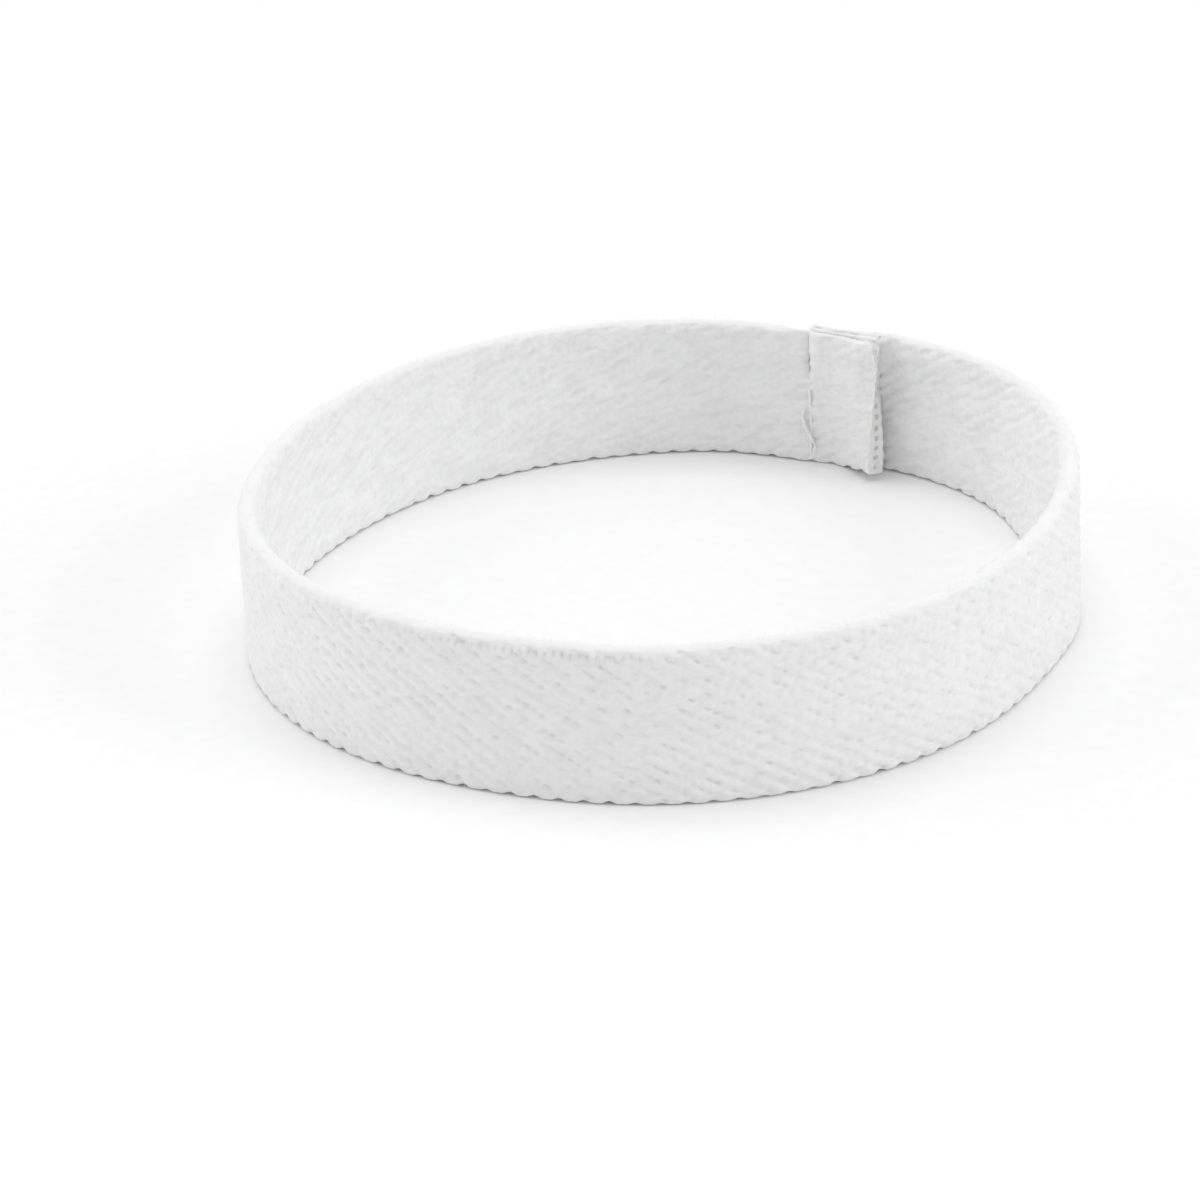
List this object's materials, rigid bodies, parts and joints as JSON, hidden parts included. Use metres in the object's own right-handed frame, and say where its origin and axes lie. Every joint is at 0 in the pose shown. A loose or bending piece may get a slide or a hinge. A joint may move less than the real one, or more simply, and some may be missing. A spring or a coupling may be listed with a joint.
{
  "type": "elastic wristband",
  "caption": "Narrow white woven elastic strip sewn into a wrist loop, with its cut ends folded over inside the seam.",
  "frame": {"origin": "centre of the loop's outline, on the plane of the lower selvedge", "axes": "+Z across the webbing's width, up from the lower selvedge; -Y towards the plain front of the loop; the seam is at the back right, at about 68 degrees from +X towards +Y"},
  "size_m": [0.0526, 0.0524, 0.01],
  "materials": {
    "webbing": "matt white woven polyester, fine twill face",
    "rubber": "matt natural latex thread",
    "thread": "white spun polyester sewing thread"
  },
  "bodies": {
    "rear": {"webbing_rear_left": "webbing", "webbing_rear_right": "webbing", "webbing_fold_left": "webbing", "webbing_fold_right": "webbing", "rubber_core_01": "rubber", "rubber_core_02": "rubber", "rubber_core_03": "rubber", "rubber_core_04": "rubber", "rubber_core_05": "rubber", "rubber_core_06": "rubber", "rubber_core_07": "rubber", "rubber_core_08": "rubber", "rubber_core_09": "rubber", "rubber_core_10": "rubber", "rubber_core_11": "rubber", "rubber_core_12": "rubber", "needle_thread": "thread", "bobbin_thread": "thread"},
    "front": {"webbing_front": "webbing"},
    "seam_allowance": {"seam_allowance_top": "webbing", "seam_allowance_under": "webbing"}
  },
  "joints": [
    {"name": "stretch", "type": "slide", "parent": "rear", "child": "front", "axis": [0, -1, 0], "range_m": [0, 0.04], "stiffness_N_per_m": 100, "deforming": ["rubber_core_01", "rubber_core_02", "rubber_core_03", "rubber_core_04", "rubber_core_05", "rubber_core_06", "rubber_core_07", "rubber_core_08", "rubber_core_09", "rubber_core_10", "rubber_core_11", "rubber_core_12"]},
    {"name": "allowance_lift", "type": "hinge", "parent": "rear", "child": "seam_allowance", "pos_m": [0.01171, 0.02219, 0.005], "axis": [0, 0, -1], "range_deg": [0, 80], "stiffness_Nm_per_rad": 0.0001, "deforming": ["webbing_fold_left", "webbing_fold_right", "rubber_core_01", "rubber_core_02", "rubber_core_03", "rubber_core_04", "rubber_core_05", "rubber_core_06", "rubber_core_07", "rubber_core_08", "rubber_core_09", "rubber_core_10", "rubber_core_11", "rubber_core_12"]}
  ]
}
